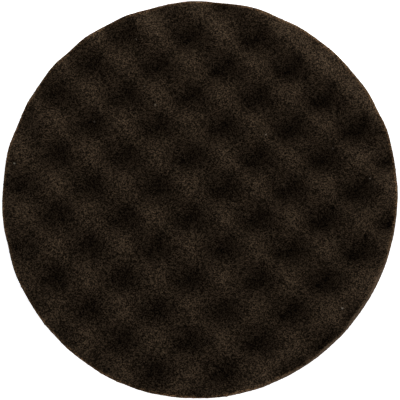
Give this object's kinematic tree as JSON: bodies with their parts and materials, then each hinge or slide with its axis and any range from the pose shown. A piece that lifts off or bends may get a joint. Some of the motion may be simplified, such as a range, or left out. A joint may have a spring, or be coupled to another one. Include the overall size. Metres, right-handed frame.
{
  "type": "polishing pad",
  "caption": "Round foam polishing pad with a waffle face of staggered bumps and hollows, and a hook-and-loop back for a machine's backing plate.",
  "frame": {"origin": "centre of the loop face, which presses on the backing plate and is the pad's lowest face", "axes": "+Z out of the waffle face, away from the machine; +X along the bump rows, to within a degree; +Y across the rows"},
  "size_m": [0.203, 0.203, 0.038],
  "materials": {
    "black_foam": "open-cell polyurethane foam, black turning dark brown in the light, matt",
    "hot_melt": "thin translucent hot-melt adhesive film",
    "ground_cloth": "warp-knitted nylon ground cloth, dark grey",
    "nylon_loops": "brushed nylon loop pile, dark grey"
  },
  "bodies": {
    "root": {"waffle_foam": "black_foam", "adhesive_film": "hot_melt", "backing_cloth": "ground_cloth", "loop_pile": "nylon_loops"}
  },
  "joints": []
}
